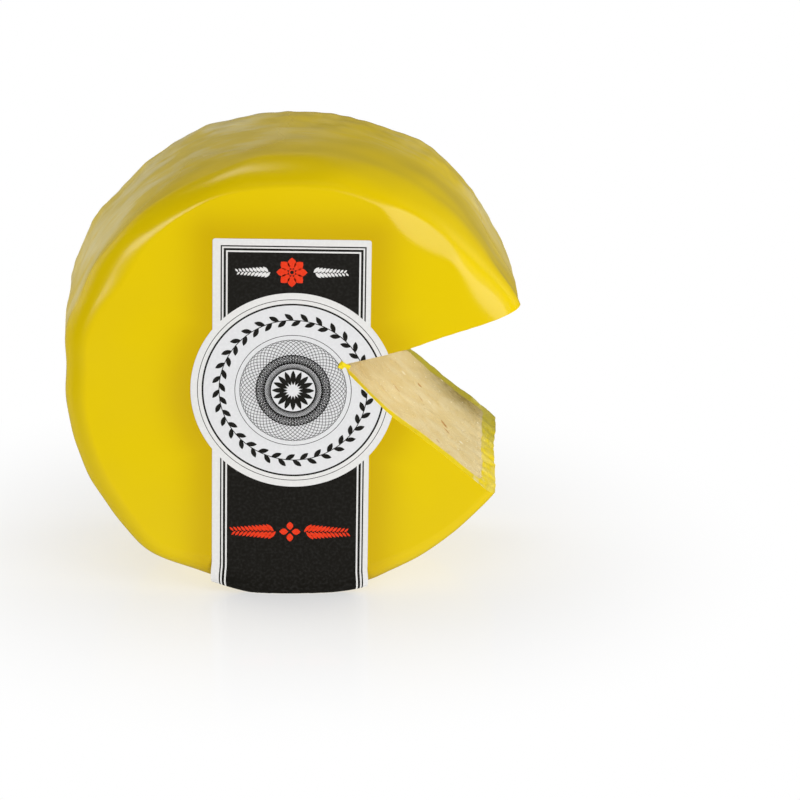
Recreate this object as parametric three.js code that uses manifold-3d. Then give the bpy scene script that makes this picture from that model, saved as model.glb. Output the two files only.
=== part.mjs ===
// A waxed wheel of smoked cheddar standing on its rim, with one wedge cut out of its right side:
// a thick wax coat, the paste inside it, and a paper label with a roundel on the front face.
// Millimetres, +Z up. The wheel's axis runs along Y and its printed face looks towards -Y.
import * as THREE from "three";
import { mergeVertices } from "three/addons/utils/BufferGeometryUtils.js";
import Module from "manifold-3d";

// The wheel over its wax. Angles are in degrees, 0 towards +X and 90 straight up.
const halfWidth = 89.0;
const halfHeight = 87.5;
const thickness = 91;
const seatHeight = 87.2; // from the wheel's axis down to the flat spot it stands on
const faceDome = 0.5; // bulge of the back face at its middle

// Lumps and flats of the dipped wax round the rim: rise in mm, side -1 front, 0 both, 1 back
const rimLumps = [
  { at: 288, spread: 9, rise: 1.3, side: -1 },
  { at: 260, spread: 15, rise: 1.4, side: 0 },
  { at: 231, spread: 11, rise: 4.1, side: -1 },
  { at: 210, spread: 22, rise: 1.1, side: -1 },
  { at: 188, spread: 12, rise: -1.2, side: 0 },
  { at: 188, spread: 8, rise: 1.0, side: -1 },
  { at: 174, spread: 6, rise: -1.0, side: -1 },
  { at: 169, spread: 7, rise: 1.3, side: 0 },
  { at: 163, spread: 23, rise: 2.2, side: 1 },
  { at: 150, spread: 7, rise: 0.8, side: 1 },
  { at: 142, spread: 7, rise: -1.0, side: 1 },
  { at: 105, spread: 6, rise: -0.5, side: 1 },
  { at: 88, spread: 18, rise: -1.6, side: 1 },
  { at: 54, spread: 6, rise: 1.1, side: 1 },
  { at: 29, spread: 11, rise: -1.4, side: 1 },
  { at: 22, spread: 8, rise: -0.7, side: 1 },
  { at: 18, spread: 9, rise: 3.5, side: -1 },
  { at: 337, spread: 8, rise: 1.4, side: 0 },
  { at: 329, spread: 7, rise: 0.8, side: 0 },
  { at: 329, spread: 7, rise: 1.2, side: 1 },
];

// Rounding between the faces and the rim: its reach along the radius and along the axis, and its
// fullness, where 2 is a round shoulder and less is a chamfer with a tighter bend at each end
const frontShoulder = {
  radial: { size: 9, swells: [
    { at: 51, spread: 12, rise: 7.3 },
    { at: 23, spread: 11, rise: 9.5 },
    { at: 112, spread: 15, rise: -1.9 },
    { at: 146, spread: 10, rise: 3 },
    { at: 326, spread: 22, rise: -4.5 },
    { at: 262, spread: 26, rise: 4 },
  ] },
  axial: { size: 11, swells: [
    { at: 60, spread: 24, rise: 12 },
    { at: 36, spread: 10, rise: 4 },
    { at: 92, spread: 12, rise: 9 },
    { at: 139, spread: 12, rise: -3.5 },
    { at: 326, spread: 24, rise: -6.5 },
    { at: 262, spread: 30, rise: 2.5 },
  ] },
  fullness: { size: 2, swells: [
    { at: 128, spread: 26, rise: -0.4 },
    { at: 95, spread: 14, rise: -0.15 },
    { at: 22, spread: 16, rise: 0.7 },
  ] },
};
const backShoulder = {
  radial: { size: 11, swells: [{ at: 90, spread: 50, rise: 2 }, { at: 330, spread: 20, rise: -7 }] },
  axial: { size: 11, swells: [{ at: 90, spread: 50, rise: 2 }, { at: 330, spread: 20, rise: -7 }] },
  fullness: { size: 2, swells: [] },
};

// Wax thickness on the rim and on the two faces, and the paste's own edge rounding
const rimWax = 6.6;
const frontWax = 5.6;
const backWax = 6.6;
const pasteEdge = 2.5;
const jointGap = 0.3; // between touching pieces

// The cut: its apex, and how far each edge runs at a first and then a second slope
const cutApex = { x: 17.7, z: 8.0 };
const cutKnee = 27.4;
const cutReach = 100;
const upperSlopes = [13.4, 19.9];
const lowerSlopes = [-46.6, -39.1];

// The label: a strip down the front face and a roundel over it, turned a little clockwise
const labelWidth = 60.6;
const labelTop = 58.8;
const labelCorner = 1.0;
const labelLeft = -31.4;
const labelTurn = -0.85;
const roundelRadius = 39.5;
const roundelCentre = { x: -0.3, z: -2.2 };
const paperThickness = 0.3;
const labelFold = 52; // how far round the front shoulder the strip is stuck down, in degrees

const rimSteps = 96;
const pasteSteps = 72;
const shoulderSteps = 7;
const tiny = 1e-6; // keeps the ends of the shoulder's curve off zero

const wasm = await Module();
wasm.setup();

// Sum of smooth swellings of a quantity round the rim
function swell(swells, angle, weight = () => 1) {
  return swells.reduce((sum, { at, spread, rise, ...rest }) => {
    const away = (((angle - at) % 360) + 540) % 360 - 180;
    return sum + rise * weight(rest) * Math.exp(-((away / spread) ** 2));
  }, 0);
}

// Distance from the axis to the rim; share runs from -1 at the front face to 1 at the back face
function rimRadius(angle, share) {
  const turn = THREE.MathUtils.degToRad(angle);
  const oval = (halfWidth * halfHeight) / Math.hypot(halfHeight * Math.cos(turn), halfWidth * Math.sin(turn));
  return oval + swell(rimLumps, angle, ({ side }) => (side === 0 ? 1 : (1 + side * share) / 2));
}

function shoulder(side, angle) {
  const { radial, axial, fullness } = side < 0 ? frontShoulder : backShoulder;
  return [radial, axial, fullness].map(({ size, swells }) => size + swell(swells, angle));
}

// Stations of the section, from the middle of the front face over the rim to the middle of the back face
function sectionStations(steps) {
  const front = [{ side: -1, reach: 0 }, { side: -1, reach: 0.5 }];
  const back = [{ side: 1, reach: 0.5 }, { side: 1, reach: 0 }];
  for (let i = 0; i <= steps; i++) {
    front.push({ side: -1, round: (90 * i) / steps });
    back.unshift({ side: 1, round: (90 * i) / steps });
  }
  return [...front, { side: 0 }, ...back];
}

// A point of the wax's outer skin, or of a surface that lies grow outside it
function skinPoint(angle, station, grow = 0) {
  const turn = THREE.MathUtils.degToRad(angle);
  const { side } = station;
  const half = thickness / 2;
  if (side === 0) return polar(rimRadius(angle, 0) + grow, turn, 0);
  const [radial, axial, fullness] = shoulder(side, angle);
  if (station.reach !== undefined) {
    const dome = side > 0 ? faceDome * (1 - station.reach ** 2) : 0;
    return polar((rimRadius(angle, side) - radial) * station.reach, turn, side * (half + dome + grow));
  }
  const round = THREE.MathUtils.degToRad(station.round);
  const sine = Math.max(Math.sin(round), tiny);
  const cosine = Math.max(Math.cos(round), tiny);
  const y = half - axial * (1 - cosine ** (2 / fullness));
  const radius = rimRadius(angle, (side * y) / half) - radial * (1 - sine ** (2 / fullness));
  const outward = new THREE.Vector2(sine ** (2 - 2 / fullness) / radial, cosine ** (2 - 2 / fullness) / axial);
  outward.setLength(grow);
  return polar(radius + outward.x, turn, side * (y + outward.y));
}

function polar(radius, turn, y) {
  return new THREE.Vector3(radius * Math.cos(turn), y, radius * Math.sin(turn));
}

// A closed body of revolution whose vertices are then placed one by one
function placedLathe(stations, segments, place) {
  const profile = stations.map((_, i) => new THREE.Vector2(Math.sin((Math.PI * i) / (stations.length - 1)), i));
  const geometry = new THREE.LatheGeometry(profile, segments);
  const position = geometry.getAttribute("position");
  for (let v = 0; v < position.count; v++) {
    const step = Math.floor(v / stations.length) % segments;
    const spot = place((-360 * step) / segments, stations[v % stations.length]);
    position.setXYZ(v, spot.x, spot.y, spot.z);
  }
  return geometry;
}

function toSolid(geometry) {
  const bare = geometry.clone();
  bare.deleteAttribute("normal");
  bare.deleteAttribute("uv");
  const merged = mergeVertices(bare, 1e-4);
  return new wasm.Manifold(new wasm.Mesh({
    numProp: 3,
    vertProperties: merged.getAttribute("position").array,
    triVerts: new Uint32Array(merged.index.array),
  }));
}

function toGeometry(solid) {
  const mesh = solid.getMesh();
  const geometry = new THREE.BufferGeometry();
  geometry.setAttribute("position", new THREE.BufferAttribute(mesh.vertProperties, 3));
  geometry.setIndex(new THREE.BufferAttribute(mesh.triVerts, 1));
  geometry.computeVertexNormals();
  return geometry;
}

// An outline in the wheel's plane, extruded along Y right through the wheel
function throughWheel(shape, curveSegments = 12) {
  const depth = thickness + 40;
  const geometry = new THREE.ExtrudeGeometry(shape, { depth, bevelEnabled: false, curveSegments });
  geometry.rotateX(Math.PI / 2);
  geometry.translate(0, depth / 2, 0);
  return toSolid(geometry);
}

// The outer form: the dipped wheel, flattened where it stands
function waxOutside() {
  const dipped = toSolid(placedLathe(sectionStations(shoulderSteps), rimSteps, skinPoint));
  const below = new THREE.BoxGeometry(3 * halfWidth, 2 * thickness, halfHeight);
  below.translate(0, 0, -seatHeight - halfHeight / 2);
  return dipped.subtract(toSolid(below));
}

// The paste's outer form, or the hollow of the coat when grow is the joint's gap
function pasteForm(grow) {
  const stations = [];
  for (const side of [-1, 1]) {
    const face = { side, reach: 0 };
    const corners = [0, 30, 60, 90].map((round) => ({ side, round }));
    stations.push(...(side < 0 ? [face, ...corners] : [...corners.reverse(), face]));
  }
  return toSolid(placedLathe(stations, pasteSteps, (angle, { side, reach, round }) => {
    const turn = THREE.MathUtils.degToRad(angle);
    const flat = thickness / 2 - (side < 0 ? frontWax : backWax) + grow;
    if (reach === 0) return polar(0, turn, side * flat);
    const bend = THREE.MathUtils.degToRad(round);
    const rim = rimRadius(angle, side) - rimWax + grow;
    return polar(
      rim - pasteEdge * (1 - Math.sin(bend)),
      turn,
      side * (flat - pasteEdge * (1 - Math.cos(bend))),
    );
  }));
}

// The wedge taken out: two edges from the apex, each with a slight knee, open past the rim
function cutWedge() {
  const edge = ([first, second]) => {
    const a = THREE.MathUtils.degToRad(first);
    const b = THREE.MathUtils.degToRad(second);
    const knee = new THREE.Vector2(cutApex.x + cutKnee * Math.cos(a), cutApex.z + cutKnee * Math.sin(a));
    const end = new THREE.Vector2(knee.x + cutReach * Math.cos(b), knee.y + cutReach * Math.sin(b));
    return [knee, end];
  };
  const [upperKnee, upperEnd] = edge(upperSlopes);
  const [lowerKnee, lowerEnd] = edge(lowerSlopes);
  const apex = new THREE.Vector2(cutApex.x, cutApex.z);
  return throughWheel(new THREE.Shape([apex, lowerKnee, lowerEnd, upperEnd, upperKnee]));
}

// The label's outline: a strip with rounded top corners, running down past the wheel's edge
function labelStrip() {
  const right = labelLeft + labelWidth;
  const foot = -halfHeight - 10;
  const shape = new THREE.Shape();
  shape.moveTo(labelLeft, foot);
  shape.lineTo(right, foot);
  shape.lineTo(right, labelTop - labelCorner);
  shape.absarc(right - labelCorner, labelTop - labelCorner, labelCorner, 0, Math.PI / 2);
  shape.absarc(labelLeft + labelCorner, labelTop - labelCorner, labelCorner, Math.PI / 2, Math.PI);
  shape.closePath();
  return throughWheel(shape, 4);
}

function labelRoundel() {
  const shape = new THREE.Shape();
  shape.absarc(roundelCentre.x, roundelCentre.z, roundelRadius, 0, 2 * Math.PI);
  return throughWheel(shape, 36);
}

// The paper itself: a thin skin just off the wax, trimmed to the label's outline
function labelPaper() {
  const stations = [{ reach: 0, layer: 0 }];
  for (let i = 0; i <= shoulderSteps; i++) stations.push({ round: (labelFold * i) / shoulderSteps, layer: 0 });
  stations.push(...stations.map((station) => ({ ...station, layer: 1 })).reverse());
  return toSolid(placedLathe(stations, rimSteps, (angle, { layer, ...station }) =>
    skinPoint(angle, { side: -1, ...station }, jointGap + (layer ? 0 : paperThickness)),
  ));
}

const cut = cutWedge();
const turned = (solid) => solid.rotate([0, -labelTurn, 0]);
const outline = turned(labelStrip()).add(turned(labelRoundel()));

const solids = {
  wax_coat: waxOutside().subtract(pasteForm(jointGap)).subtract(cut),
  cheese: pasteForm(0).subtract(cut),
  label: labelPaper().intersect(outline).subtract(cut),
};

const materials = {
  wax_coat: new THREE.MeshStandardMaterial({ color: 0xe6c800, roughness: 0.28, metalness: 0 }),
  cheese: new THREE.MeshStandardMaterial({ color: 0xe4cd98, roughness: 0.62, metalness: 0 }),
  label: new THREE.MeshStandardMaterial({ color: 0xefeff0, roughness: 0.5, metalness: 0 }),
};

const wheel = new THREE.Group();
for (const [name, solid] of Object.entries(solids)) {
  const mesh = new THREE.Mesh(toGeometry(solid), materials[name]);
  mesh.name = name;
  wheel.add(mesh);
}

// The part's own frame: middle of the wheel's box, at the level it stands on
const box = new THREE.Box3().setFromObject(wheel);
const middle = box.getCenter(new THREE.Vector3());
wheel.position.set(-middle.x, -middle.y, -box.min.z);

const part = new THREE.Group();
part.add(wheel);
export default part;
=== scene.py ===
import math

import bpy
import bmesh
import numpy as np
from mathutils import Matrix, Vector
from mathutils.geometry import delaunay_2d_cdt


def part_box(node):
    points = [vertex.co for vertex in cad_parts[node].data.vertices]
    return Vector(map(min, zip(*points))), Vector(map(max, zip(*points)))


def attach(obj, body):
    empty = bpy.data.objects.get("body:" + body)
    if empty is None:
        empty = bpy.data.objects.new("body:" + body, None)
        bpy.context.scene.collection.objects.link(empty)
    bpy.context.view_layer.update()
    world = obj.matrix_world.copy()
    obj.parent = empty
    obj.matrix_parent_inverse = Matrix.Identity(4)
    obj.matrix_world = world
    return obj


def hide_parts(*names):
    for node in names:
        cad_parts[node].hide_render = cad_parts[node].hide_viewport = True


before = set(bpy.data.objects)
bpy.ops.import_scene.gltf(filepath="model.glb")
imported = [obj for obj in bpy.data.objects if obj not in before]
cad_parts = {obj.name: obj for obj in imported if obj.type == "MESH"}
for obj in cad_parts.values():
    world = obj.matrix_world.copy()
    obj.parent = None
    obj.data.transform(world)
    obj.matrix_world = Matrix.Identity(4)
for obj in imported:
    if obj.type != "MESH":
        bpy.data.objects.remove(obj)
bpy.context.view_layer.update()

mm = 0.001
tiny = 1e-6  # keeps a sine or cosine above zero before it gets a power
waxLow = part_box("wax_coat")[0]

# The wheel, as in the solid: angles in degrees round its axis, 0 towards +X and 90 straight up
wheel = {
    "halfWidth": 89.0 * mm,
    "halfHeight": 87.5 * mm,
    "thickness": 91.0 * mm,
    "seatHeight": 87.2 * mm,
    "axisX": 1.88 * mm,
    "backDome": 0.5 * mm,
    # rise, where and how wide in degrees, radius, spread
    "backBulge": (2.1 * mm, 326, 24, 64 * mm, 22 * mm),
    "pasteBulge": (2.3 * mm, 330, 34, 38 * mm, 24 * mm),
    "rimWax": 6.6 * mm,
    "frontWax": 5.6 * mm,
    "backWax": 6.6 * mm,
    "pasteEdge": 2.5 * mm,  # how far the paste's edge is rounded
    "pasteGap": 0.04 * mm,
}
# Swellings: where, how wide in degrees, rise in mm, side (-1 front, 0 both, 1 back)
rimLumps = [
    (288, 9, 1.3, -1), (260, 15, 1.4, 0), (231, 11, 4.1, -1), (210, 22, 1.1, -1), (188, 12, -1.2, 0),
    (188, 8, 1.0, -1), (174, 6, -1.0, -1), (169, 7, 1.3, 0), (163, 23, 2.2, 1), (150, 7, 0.8, 1),
    (142, 7, -1.0, 1), (105, 6, -0.5, 1), (88, 18, -1.6, 1), (54, 6, 1.1, 1), (29, 11, -1.4, 1),
    (22, 8, -0.7, 1), (18, 9, 3.5, -1), (337, 8, 1.4, 0), (329, 7, 0.8, 0), (329, 7, 1.2, 1),
]
# Rounding between the faces and the rim: reach along the radius, reach along the axis, and fullness,
# where 2 is a round shoulder and less is a chamfer with a tighter bend at each end
frontShoulder = {
    "radial": (9.0, [
        (51, 12, 1.5, 0), (23, 11, 9.5, 0), (112, 15, -1.9, 0), (146, 10, 3.0, 0), (326, 22, -4.5, 0),
        (262, 26, 4.0, 0),
    ]),
    "axial": (11.0, [
        (60, 24, 12.0, 0), (36, 10, 4.0, 0), (92, 12, 9.0, 0), (139, 12, -3.5, 0), (326, 24, -6.5, 0),
        (262, 30, 2.5, 0),
    ]),
    "fullness": (2.0, [(128, 26, -0.4, 0), (95, 14, -0.15, 0), (22, 16, 0.7, 0)]),
}
backReach = (11.0, [(90, 50, 2.0, 0), (330, 20, -7.0, 0)])
backShoulder = {"radial": backReach, "axial": backReach, "fullness": (2.0, [])}
# A flat pressed into the front shoulder: angle, narrowing round the rim and its limit in radians, tilt in
# degrees, where it begins
pressedFlat = {
    "at": 51.5, "narrowing": 1.75, "widest": 1.5, "tilt": 15.5, "begins": 73.6 * mm, "soft": 0.45 * mm,
}
halfThick = wheel["thickness"] / 2
axis = np.array([wheel["axisX"], waxLow.y + halfThick, waxLow.z + wheel["seatHeight"]])

# The wedge that was cut out. Waves are length and height in mm, and a seed
cut = {
    "apex": (17.7 * mm, 8.0 * mm),
    "knee": 27.4 * mm,  # how far out from the apex each side bends
    "reach": 84.0 * mm,
    "upper": (13.4, 19.9),  # directions in degrees, before and past the knee
    "lower": (-46.6, -39.1),
    "margin": 6 * mm,
    "grain": 0.85 * mm,  # size of the mesh on the cut
    "calm": 5 * mm,  # the unevenness grows to its whole this far out from the apex
    "unevenness": 0.16 * mm,
    "waves": ([(38, 1.5), (13, 0.7), (5, 0.35)], 21),
    "knifeLines": ([(2.6, 0.12)], 22),
    "knifeStretch": (0.22, 1.0, 0.22),  # the knife's lines run across the wheel's axis
    "ragged": ([(7.0, 0.24), (3.2, 0.06)], 23),  # the wax of the lower side breaks at the back and the rim
    "raggedFrom": (38.5 * mm, 80 * mm),
    "raggedSoft": 3 * mm,
    # the lower side's rise towards the back, in mm, at places in mm out from the apex
    "heelAt": [20, 32, 38, 43, 48, 54, 62, 70, 78],
    "heel": [0.0, 1.8, 1.8, 1.45, 1.2, 1.45, 1.35, 1.75, 1.6],
    "heelFull": 37.0 * mm,  # how far back the rise is whole
    "heelCurve": 1.5,
    # a face belongs to the cut if it's this near to its path and this square to it
    "markDepth": 3.2 * mm,
    "markFacing": 0.7,
    "markEvery": 2,  # points of the path that are tried
    "markBatch": 20000,  # faces that are tried at a time
}
label = {
    "left": -31.4 * mm,
    "width": 60.6 * mm,
    "top": 58.8 * mm,
    "corner": 1.0 * mm,
    "turn": math.radians(0.85),
    "roundel": 39.5 * mm,
    "centre": (-0.3 * mm, -2.2 * mm),
    "lift": 0.03 * mm,
    "paper": 0.14 * mm,
    "printLift": 0.02 * mm,
    "tightness": (0.76, 0.32),  # the stiff paper bends later and tighter than the wax under it
}
paperFront = -halfThick - label["lift"] - label["paper"]


def turnFrom(angle, at):
    # degrees from one direction to another, between -180 and 180
    return (angle - at + 180.0) % 360.0 - 180.0


def turnSteps(count):
    return np.arange(count) * 360.0 / count


def swell(swells, angle, share=0.0):
    total = np.zeros(np.broadcast(angle, share).shape)
    for at, spread, rise, side in swells:
        weight = 1.0 if side == 0 else (1.0 + side * share) / 2
        total = total + rise * mm * weight * np.exp(-((turnFrom(angle, at) / spread) ** 2))
    return total


def bulge(name, angle, radius):
    # the coat swells at the back beside the cut, and the paste swells under it nearer the middle
    rise, at, spread, middle, reach = wheel[name]
    return rise * np.exp(-((turnFrom(angle, at) / spread) ** 2) - ((radius - middle) / reach) ** 2)


def rimRadius(angle, share):
    turn = np.radians(angle)
    across = wheel["halfHeight"] * np.cos(turn)
    along = wheel["halfWidth"] * np.sin(turn)
    oval = wheel["halfWidth"] * wheel["halfHeight"] / np.hypot(across, along)
    return oval + swell(rimLumps, angle, share)


def shoulder(side, angle, tightness=(1.0, 1.0)):
    own = frontShoulder if side < 0 else backShoulder
    radial = own["radial"][0] * mm + swell(own["radial"][1], angle)
    axial = own["axial"][0] * mm + swell(own["axial"][1], angle)
    fullness = own["fullness"][0] + swell(own["fullness"][1], angle) / mm
    return radial * tightness[0], axial * tightness[1], fullness


rippleSines = 5  # for each length of wave
rippleShare = 3  # the part of a wave's height that each sine has


def ripple(points, waves, seed):
    # smooth unevenness: sines of each length and height in mm, in directions that the seed fixes
    random = np.random.default_rng(seed)
    total = np.zeros(points.shape[:-1])
    for length, height in waves:
        for _ in range(rippleSines):
            direction = random.normal(size=3)
            direction /= np.linalg.norm(direction)
            phase = random.uniform(0, 2 * math.pi)
            sine = np.sin(points @ direction * 2 * math.pi / (length * mm) + phase)
            total += height * mm / rippleShare * sine
    return total


def polar(radius, angle, y):
    turn = np.radians(angle)
    return np.stack([radius * np.cos(turn), np.broadcast_to(y, radius.shape), radius * np.sin(turn)], axis=-1)


def toLabel(x, z):
    turn = label["turn"]
    return x * math.cos(turn) - z * math.sin(turn), x * math.sin(turn) + z * math.cos(turn)


def fromLabel(u, v):
    turn = label["turn"]
    return u * math.cos(turn) + v * math.sin(turn), v * math.cos(turn) - u * math.sin(turn)


def labelDistance(x, z):
    # how far outside the label's outline, negative inside
    u, v = toLabel(x, z)
    beside = np.maximum(label["left"] - u, u - (label["left"] + label["width"]))
    above = v - label["top"]
    outside = np.hypot(np.maximum(beside, 0), np.maximum(above, 0))
    strip = outside + np.minimum(np.maximum(beside, above), 0)
    roundel = np.hypot(u - label["centre"][0], v - label["centre"][1]) - label["roundel"]
    return np.minimum(strip, roundel)


def bendPoint(side, angle, bend, lift=0.0, tightness=(1.0, 1.0)):
    # a point on the shoulder, bend degrees round it, and the shoulder's outward direction there
    radial, axial, fullness = shoulder(side, angle, tightness)
    sine = np.maximum(np.sin(np.radians(bend)), tiny)
    cosine = np.maximum(np.cos(np.radians(bend)), tiny)
    outRadial = sine ** (2 - 2 / fullness) / radial
    outAxial = cosine ** (2 - 2 / fullness) / axial
    size = np.hypot(outRadial, outAxial)
    outRadial = outRadial / size
    outAxial = side * outAxial / size
    y = side * (halfThick - axial * (1 - cosine ** (2 / fullness)))
    radius = rimRadius(angle, y / halfThick) - radial * (1 - sine ** (2 / fullness))
    spot = polar(radius + lift * outRadial, angle, y + lift * outAxial)
    return spot, polar(outRadial, angle, outAxial)


def flattened(y, radius, angle):
    # the pressed flat takes the wax back to a leaning plane, with a soft edge
    away = np.radians(turnFrom(angle, pressedFlat["at"])) * pressedFlat["narrowing"]
    away = np.clip(away, -pressedFlat["widest"], pressedFlat["widest"])
    reach = radius * np.cos(away) - pressedFlat["begins"]
    plane = -halfThick + math.tan(math.radians(pressedFlat["tilt"])) * reach
    share = np.clip(0.5 + 0.5 * (plane - y) / pressedFlat["soft"], 0, 1)
    return y + (plane - y) * share + pressedFlat["soft"] * share * (1 - share)


skinDetail = {
    "angles": 480,
    "faceReaches": [*np.linspace(0, 0.93, 20), 0.95, 0.965, 0.978, 0.988, 0.996],
    "bendRings": 26,
    "rimRings": 56,
    "backBendRings": 12,
    "faceWaves": ([(55, 0.16), (24, 0.05)], 3),
    "rimWaves": ([(42, 0.35), (17, 0.16)], 8),
    "streaks": ([(26, 0.12), (11, 0.07)], 5),
    "streakStretch": (0.25, 1.0, 0.25),
    "backWaves": ([(13, 0.26), (6, 0.16)], 31),  # sharper dents towards the back, where the wheel was held
    "backWavesFull": 30 * mm,
    "bareFrom": 1 * mm,  # how far outside the label the waves begin, and over what distance they grow
    "bareOver": 8 * mm,
    "rimOnly": 0.9,  # skin that faces outwards this much, behind the front quarter, is bare of the label
}


def waxSkin():
    detail = skinDetail
    angle = turnSteps(detail["angles"])
    rings = []  # each ring's points, and its outward directions

    def face(side, reach):
        rim = rimRadius(angle, float(side)) - shoulder(side, angle)[0]
        dome = 0.0
        if side > 0:
            dome = wheel["backDome"] * (1 - reach ** 2) + bulge("backBulge", angle, rim * reach)
        spot = polar(rim * reach, angle, side * (halfThick + dome))
        rings.append((spot, polar(np.zeros_like(angle), angle, float(side))))

    for reach in detail["faceReaches"]:
        face(-1, reach)
    for i in range(detail["bendRings"]):
        rings.append(bendPoint(-1, angle, np.full_like(angle, 90.0 * i / detail["bendRings"])))
    frontY = -halfThick + shoulder(-1, angle)[1]
    backY = halfThick - shoulder(1, angle)[1]
    for i in range(detail["rimRings"] + 1):
        y = frontY + (backY - frontY) * i / detail["rimRings"]
        spot = polar(rimRadius(angle, y / halfThick), angle, y)
        rings.append((spot, polar(np.ones_like(angle), angle, 0.0)))
    for i in range(1, detail["backBendRings"] + 1):
        rings.append(bendPoint(1, angle, np.full_like(angle, 90.0 * (1 - i / detail["backBendRings"]))))
    for reach in reversed(detail["faceReaches"]):
        face(1, reach)
    rows, outward = (np.array(part) for part in zip(*rings))
    rows[..., 1] = flattened(rows[..., 1], np.hypot(rows[..., 0], rows[..., 2]), angle)

    # unevenness: faint on the faces, more on the rim, none under the label
    y = rows[..., 1]
    backwards = np.clip(y / detail["backWavesFull"], 0, 1)
    onRim = np.clip(np.hypot(outward[..., 0], outward[..., 2]), 0, 1)
    faceWave = ripple(rows, *detail["faceWaves"])
    rimWave = ripple(rows, *detail["rimWaves"])
    rimWave = rimWave + ripple(rows * np.array(detail["streakStretch"]), *detail["streaks"])
    rimWave = rimWave + ripple(rows, *detail["backWaves"]) * backwards
    away = labelDistance(rows[..., 0], rows[..., 2])
    bare = np.clip((away - detail["bareFrom"]) / detail["bareOver"], 0, 1)
    behind = (y >= 0) | ((y > -halfThick / 2) & (onRim > detail["rimOnly"]))
    bare = np.where(behind, 1.0, bare)
    moved = (faceWave * (1 - onRim) + rimWave * onRim) * bare * bare * (3 - 2 * bare)
    rows = rows + outward * moved[..., None]
    rows[..., 2] = np.maximum(rows[..., 2], -wheel["seatHeight"])
    return rows


pasteDetail = {
    "angles": 240,
    "faceReaches": (0.0, 0.2, 0.3, 0.4, 0.5, 0.6, 0.7, 0.8, 0.9),
    "edgeRings": 7,
    "rimRings": 40,
    "waves": ([(22, 0.5), (9, 0.2)], 11),
}


def pasteRows(grow):
    detail = pasteDetail
    angle = turnSteps(detail["angles"])
    edge = wheel["pasteEdge"]
    rows = []
    for side, wax in ((-1, wheel["frontWax"]), (1, wheel["backWax"])):
        flat = halfThick - wax + grow
        rim = rimRadius(angle, float(side)) - wheel["rimWax"] + grow
        rings = []
        for reach in detail["faceReaches"]:
            radius = (rim - edge) * reach
            swollen = bulge("pasteBulge", angle, radius) if side > 0 else 0.0
            rings.append(polar(radius, angle, side * (flat + swollen)))
        for bend in np.radians(np.linspace(0, 90, detail["edgeRings"])):
            depth = edge * (1 - math.cos(bend))
            rings.append(polar(rim - edge * (1 - math.sin(bend)), angle, side * (flat - depth)))
        if side > 0:
            rings.reverse()
            front = rows[-1]
            for i in range(1, detail["rimRings"]):
                rows.append(front + (rings[0] - front) * i / detail["rimRings"])
        rows.extend(rings)
    rows = np.array(rows)
    out = rows / np.linalg.norm(rows, axis=-1, keepdims=True)
    return rows + out * ripple(rows, *detail["waves"])[..., None]


def linked(name, data):
    made = bpy.data.objects.new(name, data)
    bpy.context.scene.collection.objects.link(made)
    return made


def makeObject(name, points, faces, inward=False, materials=None):
    # a closed mesh with its faces turned outwards, or inwards for a hollow
    mesh = bpy.data.meshes.new(name)
    mesh.from_pydata([tuple(p) for p in points], [], faces)
    if materials:
        mesh.polygons.foreach_set("material_index", materials)
    mesh.validate()
    work = bmesh.new()
    work.from_mesh(mesh)
    bmesh.ops.delete(work, geom=[v for v in work.verts if not v.link_faces], context="VERTS")
    bmesh.ops.recalc_face_normals(work, faces=work.faces)
    if (work.calc_volume(signed=True) < 0) != inward:
        bmesh.ops.reverse_faces(work, faces=work.faces)
    work.to_mesh(mesh)
    work.free()
    return linked(name, mesh)


def closedMesh(name, rows, inward=False):
    # rows of rings from pole to pole, joined into one closed skin
    count = rows.shape[1]
    points = np.vstack([rows[0].mean(axis=0), rows[1:-1].reshape(-1, 3), rows[-1].mean(axis=0)])
    last = len(points) - 1
    faces = []
    for j in range(count):
        k = (j + 1) % count
        faces.append((0, 1 + j, 1 + k))
        faces.append((last, last - count + k, last - count + j))
        for a in range(1, last - count, count):
            faces.append((a + j, a + count + j, a + count + k, a + k))
    return makeObject(name, points, faces, inward)


def joined(name, parts):
    work = bmesh.new()
    for part in parts:
        work.from_mesh(part.data)
        bpy.data.objects.remove(part)
    mesh = bpy.data.meshes.new(name)
    work.to_mesh(mesh)
    work.free()
    return linked(name, mesh)


def plain(made):
    # the evaluated result as a plain mesh, with no modifier left
    bpy.context.view_layer.update()
    depsgraph = bpy.context.evaluated_depsgraph_get()
    result = bpy.data.meshes.new_from_object(made.evaluated_get(depsgraph))
    made.modifiers.clear()
    made.data = result
    return made


def carve(made, cutter):
    boolean = made.modifiers.new("cut", "BOOLEAN")
    boolean.operation = "DIFFERENCE"
    boolean.solver = "MANIFOLD"
    boolean.object = cutter
    plain(made)


def readVectors(items, key):
    values = np.empty(len(items) * 3)
    items.foreach_get(key, values)
    return values.reshape(-1, 3)


def placed(made):
    # from the wheel's own middle to the row frame
    points = readVectors(made.data.vertices, "co") + axis
    made.data.vertices.foreach_set("co", points.ravel())
    made.data.update()


def cutPath():
    # from the upper side's end in to the apex, and out to the lower side's end
    apex = np.array(cut["apex"])
    path = []
    for name in ("upper", "lower"):
        turns = [math.radians(turn) for turn in cut[name]]
        first, second = (np.array([math.cos(turn), math.sin(turn)]) for turn in turns)
        knee = apex + cut["knee"] * first
        end = knee + cut["reach"] * second
        near = [apex + (knee - apex) * t for t in np.arange(0, 1, cut["grain"] / cut["knee"])]
        far = [knee + (end - knee) * t for t in np.linspace(0, 1, int(cut["reach"] / cut["grain"]))]
        edge = near + far
        path.extend(reversed(edge) if name == "upper" else edge[1:])
    return np.array(path)


def pathNormals(path):
    tangent = np.gradient(path, axis=0)
    tangent /= np.linalg.norm(tangent, axis=1, keepdims=True)
    return np.stack([-tangent[:, 1], tangent[:, 0]], axis=-1)


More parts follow.
